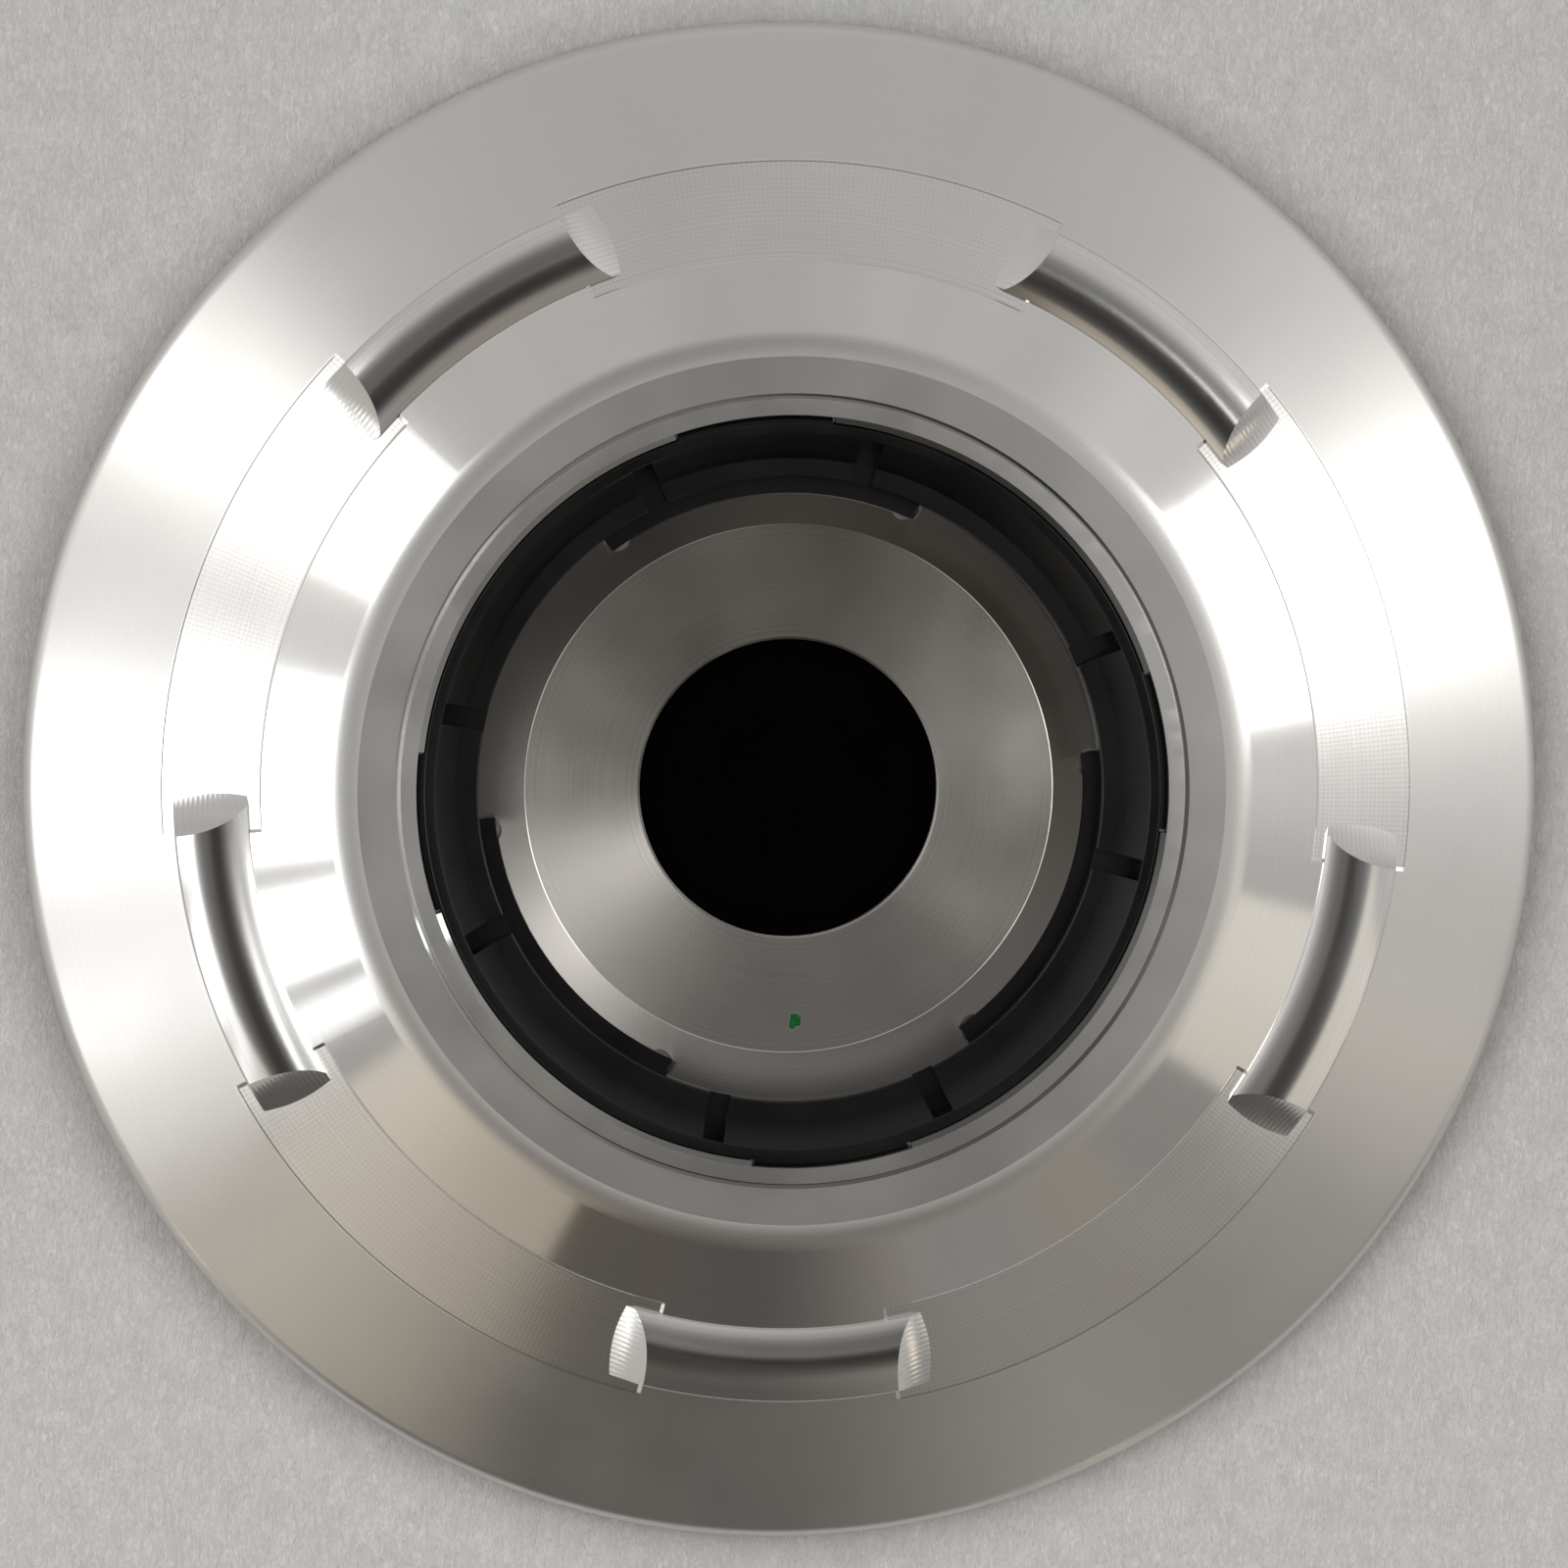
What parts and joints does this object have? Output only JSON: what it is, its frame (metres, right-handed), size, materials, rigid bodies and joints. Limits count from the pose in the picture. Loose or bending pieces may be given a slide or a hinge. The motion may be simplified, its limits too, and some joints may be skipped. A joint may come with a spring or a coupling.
{
  "type": "wheel centre cap",
  "caption": "Round dished aluminium wheel centre cap seen from its back, with milled ribs, a raised lip, a black snap-in clip ring and a plugged centre hole.",
  "frame": {"origin": "centre of the disc, on the plane that the front of the rim rests on", "axes": "+Z along the cap's axis, out of its back towards the wheel; one rib lies at -Y"},
  "size_m": [0.165, 0.165, 0.0152],
  "materials": {
    "turned_aluminium": "satin, turned and milled",
    "black_plastic": "satin moulded",
    "plug_plastic": "matte moulded"
  },
  "bodies": {
    "root": {"cap_body": "turned_aluminium", "clip_ring": "black_plastic", "centre_plug": "plug_plastic"}
  },
  "joints": []
}
